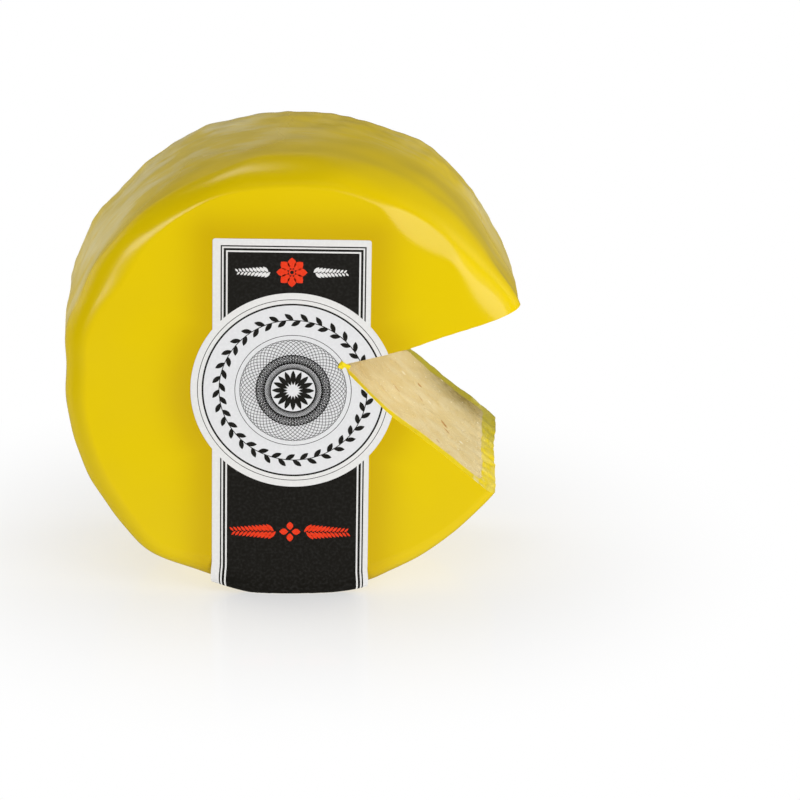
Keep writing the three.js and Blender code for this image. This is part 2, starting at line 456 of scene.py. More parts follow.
def wedgeCutter():
    path = cutPath()
    normal = pathNormals(path)
    depth = halfThick + cut["margin"]
    stations = np.linspace(-depth, depth, int(2 * depth / cut["grain"]))
    points = np.empty((len(stations), len(path), 3))
    points[..., 0] = path[:, 0]
    points[..., 1] = stations[:, None]
    points[..., 2] = path[:, 1]
    fromApex = np.hypot(path[:, 0] - cut["apex"][0], path[:, 1] - cut["apex"][1])
    reach = np.hypot(path[:, 0], path[:, 1])
    waves = ripple(points, *cut["waves"])
    waves += ripple(points * np.array(cut["knifeStretch"]), *cut["knifeLines"])
    shift = waves * np.clip(fromApex / cut["calm"], 0, 1) * cut["unevenness"] / mm
    lower = np.arange(len(path)) > len(path) // 2
    inWax = np.maximum(points[..., 1] - cut["raggedFrom"][0], reach - cut["raggedFrom"][1])
    shift += ripple(points, *cut["ragged"]) * np.clip(inWax / cut["raggedSoft"], 0, 1) * lower
    points[..., 0] += normal[:, 0] * shift
    points[..., 2] += normal[:, 1] * shift
    heel = np.interp(fromApex / mm, cut["heelAt"], cut["heel"]) * mm * lower
    points[..., 2] += heel * np.clip(stations[:, None] / cut["heelFull"], 0, 1) ** cut["heelCurve"]
    rows, columns = points.shape[:2]
    faces = []
    for a in range(0, (rows - 1) * columns, columns):
        for j in range(columns):
            k = (j + 1) % columns
            faces.append((a + j, a + k, a + columns + k, a + columns + j))
    faces.append(tuple(range(columns)))
    faces.append(tuple(range((rows - 1) * columns, rows * columns)))
    return makeObject("cutter", points.reshape(-1, 3), faces)


def markCut(made):
    # faces that lie on the cut get the second material
    path = cutPath()
    across = pathNormals(path)
    every = cut["markEvery"]
    centres = readVectors(made.data.polygons, "center")[:, [0, 2]]
    normals = readVectors(made.data.polygons, "normal")[:, [0, 2]]
    marks = np.zeros(len(centres), dtype=np.int32)
    for start in range(0, len(centres), cut["markBatch"]):
        part = slice(start, start + cut["markBatch"])
        gaps = np.linalg.norm(centres[part, None, :] - path[None, ::every, :], axis=-1)
        near = gaps.argmin(axis=1) * every
        facing = np.abs((normals[part] * across[near]).sum(axis=1))
        depth = np.abs(((centres[part] - path[near]) * across[near]).sum(axis=1))
        marks[part] = (depth < cut["markDepth"]) & (facing > cut["markFacing"])
    made.data.polygons.foreach_set("material_index", marks)


class Wire:
    # a socket that takes Python's operators; each one adds a Math node
    def __init__(self, maker, socket):
        self.maker = maker
        self.socket = socket

    def math(self, operation, *others):
        return self.maker.math(operation, self, *others)

    def __add__(self, other):
        return self.math("ADD", other)

    def __sub__(self, other):
        return self.math("SUBTRACT", other)

    def __rsub__(self, other):
        return self.maker.math("SUBTRACT", other, self)

    def __mul__(self, other):
        return self.math("MULTIPLY", other)

    def __truediv__(self, other):
        return self.math("DIVIDE", other)

    __radd__ = __add__
    __rmul__ = __mul__


class NodeMaker:
    def __init__(self, tree):
        self.tree = tree

    def node(self, kind, settings=None, sockets=None, output=0):
        # settings come first, then the sockets' values or links
        made = self.tree.nodes.new(kind)
        for name, value in (settings or {}).items():
            if name == "stops":
                ramp = made.color_ramp
                while len(ramp.elements) < len(value):
                    ramp.elements.new(0.5)
                for element, (position, colour) in zip(ramp.elements, value):
                    element.position = position
                    element.color = (*colour, 1.0)
            else:
                setattr(made, name, value)
        for key, value in (sockets or {}).items():
            if isinstance(value, Wire):
                self.tree.links.new(value.socket, made.inputs[key])
            elif value is not None:
                made.inputs[key].default_value = value
        return None if output is None else Wire(self, made.outputs[output])

    def math(self, operation, *values):
        return self.node("ShaderNodeMath", {"operation": operation}, dict(enumerate(values)))

    def length(self, x, y):
        return (x * x + y * y).math("SQRT")

    def vector(self, x=None, y=None, z=None):
        return self.node("ShaderNodeCombineXYZ", sockets={0: x, 1: y, 2: z})

    def split(self, vector):
        parts = self.node("ShaderNodeSeparateXYZ", sockets={0: vector}).socket.node.outputs
        return [Wire(self, part) for part in parts]

    def place(self, middle=None):
        # Object coordinates, and where a middle is given also x, y and z measured from it
        place = self.node("ShaderNodeTexCoord", output=3)
        if middle is None:
            return place
        return place, *(wire - float(at) for wire, at in zip(self.split(place), middle))

    def mix(self, factor, first, second):
        colours = [value if isinstance(value, Wire) else (*value, 1.0) for value in (first, second)]
        return self.node("ShaderNodeMix", {"data_type": "RGBA"}, {0: factor, 6: colours[0], 7: colours[1]}, 2)

    def layers(self, colour, look, masks):
        # each named colour of the look is laid over the last one, where its mask says
        for name, mask in masks.items():
            paint, strength = look[name]
            colour = self.mix(mask * strength, colour, paint)
        return colour

    def smooth(self, value, low, high):
        sockets = {"Value": value, "From Min": low, "From Max": high}
        return self.node("ShaderNodeMapRange", {"interpolation_type": "SMOOTHSTEP"}, sockets)

    def patches(self, place, scale, detail, low, high):
        return self.smooth(self.noise(place, scale, detail), low, high)

    def noise(self, place, scale, detail):
        # three numbers for the scale stretch the noise
        if isinstance(scale, tuple):
            place = self.node("ShaderNodeMapping", sockets={"Vector": place, "Scale": scale})
            scale = 1.0
        return self.node("ShaderNodeTexNoise", sockets={"Vector": place, "Scale": scale, "Detail": detail})


def newMaterial(name, look):
    # an empty Principled material with the constants that don't change over its surface
    material = bpy.data.materials.new(name)
    material.use_nodes = True
    shader = material.node_tree.nodes["Principled BSDF"]
    for socket, value in look.items():
        shader.inputs[socket].default_value = value
    return material, NodeMaker(material.node_tree), shader


def feed(maker, shader, colour, roughness=None, height=None, strength=None):
    # what changes over a surface: its colour, its roughness, and a bump from a height in metres
    wires = {"Base Color": colour, "Roughness": roughness}
    if height is not None:
        sockets = {"Strength": strength, "Distance": 1.0, "Height": height}
        wires["Normal"] = maker.node("ShaderNodeBump", sockets=sockets)
    for name, wire in wires.items():
        if wire is not None:
            maker.tree.links.new(wire.socket, shader.inputs[name])


cutter = wedgeCutter()
hollow = closedMesh("hollow", pasteRows(wheel["pasteGap"]), inward=True)
waxCoat = joined("waxCoat", [closedMesh("skin", waxSkin()), hollow])
carve(waxCoat, cutter)
print("wax coat:", len(waxCoat.data.polygons), "faces")
paste = closedMesh("paste", pasteRows(0.0))
carve(paste, cutter)
print("paste:", len(paste.data.polygons), "faces")

# The label's print, from the outside in: mm from the strip's left edge, or mm of radius
printing = {
    "colours": ["paperWhite", "ink", "fieldWhite"],
    "stripLines": [(3.1, "ink"), (3.63, "paperWhite"), (4.24, "ink"), (5.14, "paperWhite"), (5.78, "ink")],
    "nearerRight": 1.2 * mm,  # the print sits a little to the right on its paper, and a little high
    "nearerTop": 0.45 * mm,
    "rings": [
        (39.5, "paperWhite"), (36.93, "ink"), (36.67, "paperWhite"), (35.2, "ink"), (34.5, "fieldWhite"),
        (22.52, "ink"), (22.28, "fieldWhite"),
    ],
    "foot": 3.8 * mm,  # how far back under the shoulder the strip runs
    "floorGap": 0.25 * mm,
    "footSearch": (75 * mm, 105 * mm, 0.2 * mm),  # depths where the foot is looked for, and the step
    "bendFrom": 68.0 * mm,  # between these the sheet is divided finely enough to bend
    "bendTo": 100 * mm,
    "bendStep": 1.0 * mm,
    "bendColumns": 2 * mm,
    "leastCorner": 0.05 * mm,
    "cutEvery": 8,  # points of the cut's path that bound the sheet
    "nearest": 1e-4,  # points closer than this are one
    "footSteps": 60,
    "cornerSteps": 5,
    "circleSteps": 240,
}


def labelSkin(u, v, lift):
    # from the flat label to its place on the wax: flat on the face, then round the front shoulder
    x, z = fromLabel(np.asarray(u, float), np.asarray(v, float))
    distance = np.hypot(x, z)
    angle = np.degrees(np.arctan2(z, x)) % 360.0
    radial, axial, _ = shoulder(-1, angle, label["tightness"])
    flatTo = rimRadius(angle, -1.0) - radial
    bend = np.degrees(np.maximum(distance - flatTo, 0) * 2 / (radial + axial))
    onFace = np.stack([x, np.full_like(x, -halfThick - lift), z], axis=-1)
    onBend, _ = bendPoint(-1, angle, np.minimum(bend, 90), lift, label["tightness"])
    return np.where((distance > flatTo)[..., None], onBend, onFace)


def stripFoot(across):
    # how far down the strip runs at each place across it: to the end of its fold, or just off the floor
    depths = np.arange(*printing["footSearch"])
    u, v = np.meshgrid(across, -depths)
    spots = labelSkin(u, v, label["lift"] + label["paper"])
    turnedUnder = spots[..., 1] > -halfThick + printing["foot"]
    atFloor = spots[..., 2] < -wheel["seatHeight"] + printing["floorGap"]
    return -depths[(turnedUnder | atFloor).argmax(axis=0)]


def stripShape(inset, nearerRight=0.0, nearerTop=0.0):
    left = label["left"] + inset * mm
    right = label["left"] + label["width"] - inset * mm + nearerRight
    top = label["top"] - inset * mm + nearerTop
    corner = max(label["corner"] - inset * mm, printing["leastCorner"])
    across = np.linspace(left, right, printing["footSteps"])
    shape = list(zip(across, stripFoot(across)))
    for middle, start in ((right - corner, 0), (left + corner, 90)):
        for step in np.linspace(0, 90, printing["cornerSteps"]):
            turn = math.radians(start + step)
            shape.append((middle + corner * math.cos(turn), top - corner + corner * math.sin(turn)))
    return shape


def circleShape(radius):
    u, v = label["centre"]
    turns = np.arange(printing["circleSteps"]) * 2 * math.pi / printing["circleSteps"]
    return [(u + radius * math.cos(turn), v + radius * math.sin(turn)) for turn in turns]


def printedLabel():
    # every outline of the print is an edge of one sheet, and each field of colour is a set of its faces
    shift = printing["nearerRight"], printing["nearerTop"]
    shapes = [(stripShape(0.0), "paperWhite")]
    shapes += [(stripShape(inset, *shift), colour) for inset, colour in printing["stripLines"]]
    shapes += [(circleShape(radius * mm), colour) for radius, colour in printing["rings"]]
    wedge = len(shapes)
    shapes.append(([toLabel(x, z) for x, z in cutPath()[::printing["cutEvery"]]], None))
    points = []
    outlines = []
    for shape, _ in shapes:
        outlines.append(list(range(len(points), len(points) + len(shape))))
        points.extend(shape)

    # lines across and down the folded part, where the sheet has to bend
    left = label["left"]
    right = left + label["width"]
    begins, ends = printing["bendFrom"], printing["bendTo"]
    folds = [((left - mm, -v), (right + mm, -v)) for v in np.arange(begins, ends, printing["bendStep"])]
    columns = np.arange(left + printing["bendColumns"], right, printing["bendColumns"])
    folds += [((u, -begins), (u, -ends)) for u in columns]
    edges = []
    for fold in folds:
        edges.append((len(points), len(points) + 1))
        points.extend(fold)
    scale = 1000.0  # the sheet is divided in mm
    flat = [Vector((u * scale, v * scale)) for u, v in points]
    spots, _, cells, _, _, origins = delaunay_2d_cdt(flat, edges, outlines, 1, printing["nearest"], True)
    spots = np.array([tuple(spot) for spot in spots]) / scale
    kept = [(cell, max(ids)) for cell, ids in zip(cells, origins) if ids and wedge not in ids]

    # the printed side, the side on the wax, and the paper's edge between them
    count = len(spots)
    faces = [tuple(cell) for cell, _ in kept]
    materials = [printing["colours"].index(shapes[shape][1]) for _, shape in kept]
    faces += [tuple(count + v for v in reversed(cell)) for cell, _ in kept]
    sides = dict.fromkeys(side for cell, _ in kept for side in zip(cell, cell[1:] + cell[:1]))
    faces += [(b, a, count + a, count + b) for a, b in sides if (b, a) not in sides]
    materials += [0] * (len(faces) - len(materials))
    lifts = (label["lift"] + label["paper"], label["lift"])
    skins = [labelSkin(spots[:, 0], spots[:, 1], lift) for lift in lifts]
    return makeObject("labelPaper", np.vstack(skins), faces, materials=materials)


labelPaper = printedLabel()
print("label:", len(labelPaper.data.polygons), "faces")

# Where the rim's whitish bloom, partly dull wax and partly a painted reflection of the pale surround, begins
# and is full, in mm behind the front face, and how strong it is
bloom = {
    "angles": [0, 20, 30, 45, 60, 75, 90, 102, 117, 130, 145, 160, 175, 190, 205, 340],
    "begins": [20, 20, 14, 40, 38, 26, 18, 14, 12, 5, 3, 3, 8, 14, 20, 20],
    "full": [60, 60, 60, 80, 70, 60, 44, 44, 60, 36, 30, 16, 30, 40, 60, 60],
    "strength": [0.3, 0.6, 0.9, 0.4, 0.35, 0.15, 0.35, 0.8, 1.0, 1.0, 1.0, 0.95, 0.6, 0.3, 0.0, 0.0],
    "radius": 60 * mm,  # none nearer the axis than this, on the back
    "radiusSoft": 20 * mm,
}
waxLook = {
    "face": (0.745, 0.54, 0.0005),
    # laid over it, with their strength
    "deep": ((0.64, 0.44, 0.0005), 0.16),
    # painted shade: the wax is darkened beside the label
    "paintedShadeBesideLabel": ((0.56, 0.365, 0.001), 0.8),
    # partly dull wax, partly a painted reflection of the pale surround
    "bloom": ((0.78, 0.66, 0.30), 1.0),
    "scratch": ((0.84, 0.78, 0.52), 0.45),
    "bloomAndReflectionScuffs": (0.28, 0.7),  # the bloom and its painted reflection where there is no scuff, and what a scuff adds
    "gloss": {"Roughness": 0.24, "Specular IOR Level": 0.36},
    "roughness": (0.2, 0.1, 0.05),  # of the bare wax, added by the bloom, added by uneven wax
    # noises: scale and detail, and where they begin and are full
    "uneven": (22.0, 3.0, 0.35, 0.7),
    "streaks": ((60.0, 320.0, 60.0), 5.0),
    "patches": (48.0, 4.0),
    "scratches": ((40.0, 520.0, 40.0), 2.0, 0.6, 0.7),
    "dents": (90.0, 2.0),
    "scuffs": (0.35, 0.65, 0.4, 0.6),  # parts of streaks and patches, and from where to where
    "scratchedFrom": (0.42, 0.58),
    "scratchLean": 0.3,
    "labelShade": 10.5 * mm,  # how far from the paper the painted shade beside the label reaches
    "shadeEnds": (12 * mm, 5 * mm),  # behind the front face, from none to all
    "rimFrom": (80 * mm, 86 * mm),
    # height of the soft dents everywhere, of the streaks in the bloom, and of the rim's scratches
    "relief": (0.06 * mm, 0.12 * mm, 0.04 * mm),
    "bump": 0.6,
}


def markBloomAndPaintedReflection(made):
    # the rim's dull, whitish wax with a painted reflection of the pale surround in its colour: it starts some
    # way back from the front face and comes in slowly
    x, y, z = readVectors(made.data.vertices, "co").T
    angle = np.degrees(np.arctan2(z, x)) % 360.0
    tables = [bloom[name] for name in ("begins", "full", "strength")]
    begins, full, strength = (np.interp(angle, bloom["angles"], table, period=360) for table in tables)
    share = np.clip(((y + halfThick) / mm - begins) / (full - begins), 0, 1)
    fade = np.clip((np.hypot(x, z) - bloom["radius"]) / bloom["radiusSoft"], 0, 1)
    share = share * share * (3 - 2 * share) * strength * fade
    made.data.attributes.new("bloom", "FLOAT", "POINT").data.foreach_set("value", share)


def waxMaterial():
    look = waxLook
    material, maker, shader = newMaterial("cheeseWax", look["gloss"])
    place, x, y, z = maker.place(axis)
    # the share of the rim's bloom and of its painted reflection
    onRim = maker.node("ShaderNodeAttribute", {"attribute_name": "bloom"}, output=2)
    rimOnly = maker.smooth(maker.length(x, z), *look["rimFrom"])

    # distance from the label's outline, on the front face only, where the wax gets painted shade
    u, v = toLabel(x, z)
    middle = label["left"] + label["width"] / 2
    beside = ((u - middle).math("ABSOLUTE") - label["width"] / 2).math("MAXIMUM", 0.0)
    above = (v - label["top"]).math("MAXIMUM", 0.0)
    roundel = maker.length(u - label["centre"][0], v - label["centre"][1]) - label["roundel"]
    away = maker.length(beside, above).math("MINIMUM", roundel).math("MAXIMUM", 0.0)
    # painted shade: how much the wax beside the label is darkened
    paintedShadeNearLabel = (away * away / -look["labelShade"] ** 2).math("EXPONENT")
    inFront = maker.smooth(y, *(behind - halfThick for behind in look["shadeEnds"]))

    uneven = maker.patches(place, *look["uneven"])
    streaks = maker.noise(place, *look["streaks"])
    patches = maker.noise(place, *look["patches"])
    streaked, patched, *scuffedFrom = look["scuffs"]
    scuffs = maker.smooth(streaks * streaked + patches * patched, *scuffedFrom)
    # long faint lines that lean a little across the rim
    leaning = maker.vector(x, y + (x + z) * look["scratchLean"], z)
    scratches = maker.patches(leaning, *look["scratches"]) * maker.smooth(patches, *look["scratchedFrom"])
    unscuffed, scuffed = look["bloomAndReflectionScuffs"]
    colour = maker.layers(look["face"], look, {
        "deep": uneven, "paintedShadeBesideLabel": paintedShadeNearLabel * inFront, "bloom": onRim * (scuffs * scuffed + unscuffed),
        "scratch": scratches * onRim,
    })
    bare, bloomed, roughened = look["roughness"]
    roughness = bare + onRim * bloomed + uneven * roughened
    dents, grooves, lines = look["relief"]
    height = maker.noise(place, *look["dents"]) * dents
    height = height + streaks * onRim * grooves + scratches * rimOnly * lines
    feed(maker, shader, colour, roughness, height, look["bump"])
    return material


cutWaxLook = {
    # lighter than the face wax: painted light on the cut band
    "brightPaintedLight": (0.84, 0.65, 0.006),
    # painted shade towards the back of the cut
    "paintedShadeBack": ((0.40, 0.34, 0.03), 0.9),
    "milky": ((0.76, 0.69, 0.36), 1.0),
    "clots": ((0.40, 0.34, 0.03), 0.5),
    "milkyShares": (0.85, 0.5),  # of the milky scratches in front, and how much fewer at the back
    "gloss": {"Roughness": 0.4, "Specular IOR Level": 0.25},
    "roughness": (0.28, 0.3),  # at least, and added by scratches
    "clotNoise": (230.0, 4.0),
    "scratchNoise": ((620.0, 130.0, 620.0), 4.0),
    "clotsFrom": (0.56, 0.7),
    "paintedShadeFrom": (-8 * mm, 34 * mm),  # along the wheel's axis, where the painted shade comes in
    "paintedShadeUneven": 30 * mm,
    "milkySoft": 1.5 * mm,
    "milkyFrom": 80 * mm,  # radius where the rim's layer is milky with scratches, fading to its skin
    "milkyTo": 87 * mm,
    "milkyFade": 0.7,
    "milkyPatches": (0.38, 0.6),
    "relief": (0.4 * mm, 0.7 * mm),  # scratches, clots
    "bump": 0.8,
}


def cutWaxMaterial():
    # wax where the knife went through: painted lighter than the face wax in front, painted shade towards the
    # back, milky and scratched at the rim
    look = cutWaxLook
    material, maker, shader = newMaterial("cutWax", look["gloss"])
    place, x, y, z = maker.place((axis[0], 0.0, axis[2]))
    radius = maker.length(x, z)
    clots = maker.noise(place, *look["clotNoise"])
    scratches = maker.noise(place, *look["scratchNoise"])
    # painted shade: grows towards the back, with a ragged edge from the clots
    backwards = maker.smooth(y + (clots - 0.5) * look["paintedShadeUneven"], *look["paintedShadeFrom"])
    rimLayer = maker.smooth(radius, look["milkyFrom"] - look["milkySoft"], look["milkyFrom"])
    faded = maker.smooth(radius, look["milkyFrom"], look["milkyTo"]) * look["milkyFade"]
    milky = rimLayer * (1.0 - faded) * maker.smooth(scratches * 0.5 + clots * 0.5, *look["milkyPatches"])
    inFront, fewer = look["milkyShares"]
    colour = maker.layers(look["brightPaintedLight"], look, {
        "paintedShadeBack": backwards, "milky": milky * (inFront - backwards * fewer),
        "clots": maker.smooth(clots, *look["clotsFrom"]) * backwards,
    })
    roughness = look["roughness"][0] + scratches * look["roughness"][1]
    height = scratches * look["relief"][0] + clots * look["relief"][1]
    feed(maker, shader, colour, roughness, height, look["bump"])
    return material


pasteLook = {
    "cream": (0.735, 0.59, 0.29),
    "pale": ((0.80, 0.695, 0.435), 0.6),
    "straw": ((0.72, 0.52, 0.20), 0.22),
    # painted shadow near the back of the cut
    "paintedShadow": ((0.27, 0.195, 0.045), 1.0),
    "rust": (0.50, 0.25, 0.06),
    "fleck": (0.93, 0.87, 0.70),
    "crystal": (0.92, 0.86, 0.72),
    "gloss": {"Roughness": 0.5, "Specular IOR Level": 0.3},
    "roughness": (0.45, 0.15),  # at least, and added by the curd
    "crystalGloss": {"Roughness": 0.35, "Specular IOR Level": 0.5},
    "crystalNoise": (600.0, 2.0),
    "grain": ((150.0, 330.0, 60.0), 5.0, 0.5, 0.75),
    "clouds": (110.0, 5.0),
    "cloudsFrom": (0.38, 0.66),
    "curd": (420.0, 4.0),
    "relief": (0.5 * mm, 0.7 * mm),  # curd, clouds
    "bump": 0.5,
    # the painted shadow near the back edge, where the upper half shades the cut: mm out from the apex, mm
    # along the wheel's axis, and its spreads
    "paintedShadowAt": (64 * mm, 37 * mm, 18 * mm, 14 * mm),
    "paintedShadowShares": (0.45, 0.85),  # everywhere in it, and added by the curd
    "markLean": math.radians(-52),
    "markRagged": 1.2,
    "markEdge": (1.0, 0.5),
    # mm out from the apex, mm along the wheel's axis, half length and half width in mm, strength
    "marks": {
        "rust": [
            (55.2, -7.5, 3.0, 1.1, 0.9), (56.6, -12.5, 2.8, 0.9, 0.7), (42.6, 15, 1.7, 1.1, 0.9),
            (31, -9.6, 3.2, 0.7, 0.6), (51.6, -34, 1.3, 0.9, 0.6), (43.4, 1.5, 3.0, 0.6, 0.5),
            (24, -22, 2.0, 0.6, 0.4),
        ],
        "fleck": [(63.7, -14, 1.1, 0.9, 0.9), (34.5, 15, 1.5, 1.2, 0.6), (47.8, 4.7, 1.2, 0.9, 0.5)],
    },
}


def pasteMaterial():
    look = pasteLook
    material, maker, shader = newMaterial("cheddarPaste", look["gloss"])
    place, x, y, z = maker.place((axis[0] + cut["apex"][0], 0.0, axis[2] + cut["apex"][1]))
    along = maker.length(x, z)
    clouds = maker.noise(place, *look["clouds"])
    curd = maker.noise(place, *look["curd"])
    out, back, outSpread, backSpread = look["paintedShadowAt"]
    fromOut = (along - out) / outSpread
    fromBack = (y - back) / backSpread
    # painted shadow that the upper half casts on the back of the cut
    paintedShadow = (fromOut * fromOut * -1.0 - fromBack * fromBack).math("EXPONENT")
    evenly, inCurd = look["paintedShadowShares"]
    colour = maker.layers(look["cream"], look, {
        "pale": maker.smooth(clouds, *look["cloudsFrom"]),
        "straw": maker.patches(maker.vector(along, y, z), *look["grain"]),
        "paintedShadow": paintedShadow * (evenly + curd * inCurd),
    })
    sine = math.sin(look["markLean"])
    cosine = math.cos(look["markLean"])
    ragged = (curd - 0.5) * look["markRagged"]
    for paint, marks in look["marks"].items():
        for out, back, halfLength, halfWidth, strength in marks:
            du = along - out * mm
            dv = y - back * mm
            long = (du * cosine + dv * sine) / (halfLength * mm)
            wide = (dv * cosine - du * sine) / (halfWidth * mm)
            away = maker.length(long, wide) + ragged
            colour = maker.mix(maker.smooth(away, *look["markEdge"]) * strength, colour, look[paint])
    height = curd * look["relief"][0] + clouds * look["relief"][1]
    roughness = look["roughness"][0] + curd * look["roughness"][1]
    feed(maker, shader, colour, roughness, height, look["bump"])
    return material


def crystalMaterial():
    material, maker, shader = newMaterial("cheeseCrystal", pasteLook["crystalGloss"])
    noise = maker.noise(maker.place(), *pasteLook["crystalNoise"])
    feed(maker, shader, maker.mix(noise, pasteLook["pale"][0], pasteLook["crystal"]))
    return material


# Each print's colour and roughness, and the paper's fibres under all of them
printLook = {
    "paperWhite": ((0.72, 0.71, 0.69), 0.45),
    "fieldWhite": ((0.69, 0.69, 0.695), 0.5),
    "ink": ((0.008, 0.007, 0.005), 0.4),
    "redInk": ((0.75, 0.035, 0.004), 0.42),
}
fibres = {
    "noise": (900.0, 3.0),
    "wornFrom": (0.4, 0.75),
    "worn": 0.8,
    "wornColour": (1.06, 0.012),  # factor and addition to the colour
    "roughness": 0.12,
    "relief": 0.05 * mm,
    "bump": 0.25,
    "specular": 0.2,
}


def printMaterial(name):
    base, roughness = printLook[name]
    material, maker, shader = newMaterial(name, {"Specular IOR Level": fibres["specular"]})
    fibre = maker.noise(maker.place(), *fibres["noise"])
    factor, addition = fibres["wornColour"]
    worn = tuple(min(c * factor + addition, 1.0) for c in base)
    colour = maker.mix(maker.smooth(fibre, *fibres["wornFrom"]) * fibres["worn"], base, worn)
    roughness = roughness + fibre * fibres["roughness"]
    feed(maker, shader, colour, roughness, fibre * fibres["relief"], fibres["bump"])
    return material


printMaterials = {name: printMaterial(name) for name in printLook}


def newTree(name, inputs):
    # an empty Geometry Nodes tree, its maker, and its inputs as wires; a word is a kind with no default
    kinds = {int: "Int", float: "Float", tuple: "Vector"}
    tree = bpy.data.node_groups.new(name, "GeometryNodeTree")
    for key, value in inputs.items():
        kind = kinds.get(type(value), value)
        socket = tree.interface.new_socket(key, in_out="INPUT", socket_type=f"NodeSocket{kind}")
        if kind != value:
            socket.default_value = value
    tree.interface.new_socket("Geometry", in_out="OUTPUT", socket_type="NodeSocketGeometry")
    maker = NodeMaker(tree)
    entry = tree.nodes.new("NodeGroupInput")
    return tree, maker, {key: Wire(maker, entry.outputs[key]) for key in inputs}


def closeTree(maker, geometry, material):
    real = maker.node("GeometryNodeRealizeInstances", sockets={0: geometry})
    painted = maker.node("GeometryNodeSetMaterial", sockets={"Geometry": real, "Material": material})
    maker.node("NodeGroupOutput", sockets={0: painted}, output=None)


def grown(name, tree, values, mesh=None):
    # the tree's result for these inputs, as a plain mesh on an object of its own
    made = linked(name, mesh or bpy.data.meshes.new(name))
    modifier = made.modifiers.new("nodes", "NODES")
    modifier.node_group = tree
    for item in tree.interface.items_tree:
        if item.in_out == "INPUT" and item.name in values:
            modifier[item.identifier] = values[item.name]
    return plain(made)


printInputs = {"Thickness": 0.03 * mm, "Centre": (0, 0, 0), "Turn": 0.0, "Material": "Material"}


def leafShape(maker, given, corners):
    # a flat leaf from a disc, pointed at both ends, with its foot at the origin and its tip along X
    disc = maker.node("GeometryNodeMeshCylinder", {"fill_type": "NGON"}, {
        "Vertices": corners, "Side Segments": 1, "Radius": 1.0, "Depth": given["Thickness"],
    })
    x, y, z = maker.split(maker.node("GeometryNodeInputPosition"))
    spot = maker.vector((x + 1.0) * 0.5 * given["Length"], y * y.math("ABSOLUTE") * 0.5 * given["Width"], z)
    return maker.node("GeometryNodeSetPosition", sockets={"Geometry": disc, "Position": spot})


def closePrint(maker, given, shape, turn, spot=None, scale=None):
    # Count copies, then from the drawing plane to the label's: upright, turned with it, at its centre
    points = maker.node("GeometryNodePoints", sockets={"Count": given["Count"], "Position": spot})
    copies = maker.node("GeometryNodeInstanceOnPoints", sockets={
        "Points": points, "Instance": shape, "Rotation": maker.vector(z=turn), "Scale": scale,
    })
    upright = maker.vector(math.pi / 2, given["Turn"])
    moved = maker.node("GeometryNodeTransform", sockets={
        "Geometry": copies, "Translation": given["Centre"], "Rotation": upright,
    })
    closeTree(maker, moved, given["Material"])


def petalTree():
    # flat petals round a circle; they lean from the circle's line, to one side and the other in turn
    tree, maker, given = newTree("petals", {
        "Count": 12, "Circle": 10 * mm, "Length": 5 * mm, "Width": 2 * mm, "Lean": 1.2, "Both Sides": 0.0,
        **printInputs,
    })
    index = maker.node("GeometryNodeInputIndex")
    angle = index / given["Count"] * (2 * math.pi)
    side = 1.0 - 2.0 * index.math("MODULO", 2.0) * given["Both Sides"]
    spot = maker.vector(angle.math("COSINE") * given["Circle"], angle.math("SINE") * given["Circle"])
    turn = angle + math.pi / 2 - side * given["Lean"]
    closePrint(maker, given, leafShape(maker, given, corners=16), turn, spot)
    return tree


def lineTree():
    # fine closed lines: ovals turned step by step about one centre
    tree, maker, given = newTree("fineLines", {
        "Count": 12, "Long": 20 * mm, "Short": 10 * mm, "Line": 0.2 * mm, **printInputs,
    })
    circle = maker.node("GeometryNodeCurvePrimitiveCircle", {"mode": "RADIUS"}, {
        "Resolution": 72, "Radius": 1.0,
    })
    size = maker.vector(given["Long"], given["Short"], 1.0)
    oval = maker.node("GeometryNodeTransform", sockets={"Geometry": circle, "Scale": size})
    upright = maker.node("GeometryNodeSetCurveNormal", {"mode": "Z_UP"}, {"Curve": oval})
    section = maker.node("GeometryNodeCurvePrimitiveQuadrilateral", {"mode": "RECTANGLE"}, {
        "Width": given["Line"], "Height": given["Thickness"],
    })
    line = maker.node("GeometryNodeCurveToMesh", sockets={"Curve": upright, "Profile Curve": section})
    index = maker.node("GeometryNodeInputIndex")
    closePrint(maker, given, line, index / given["Count"] * math.pi)
    return tree


def sprigTree():
    # a row of petals along a straight stem, to one side and the other in turn, shorter towards its end
    tree, maker, given = newTree("sprig", {
        "Count": 12, "Step": 1 * mm, "Length": 3 * mm, "Width": 1 * mm, "Lean": 0.8, "Taper": 0.5, "Way": 1.0,
        **printInputs,
    })
    index = maker.node("GeometryNodeInputIndex")
    side = 1.0 - 2.0 * index.math("MODULO", 2.0)
    turn = (1.0 - given["Way"]) * (math.pi / 2) + side * given["Lean"]
    shrink = 1.0 - index / given["Count"] * given["Taper"]
    spot = maker.vector(index * given["Step"] * given["Way"])
    leaf = leafShape(maker, given, corners=14)
    closePrint(maker, given, leaf, turn, spot, maker.vector(shrink, shrink, 1.0))
    return tree


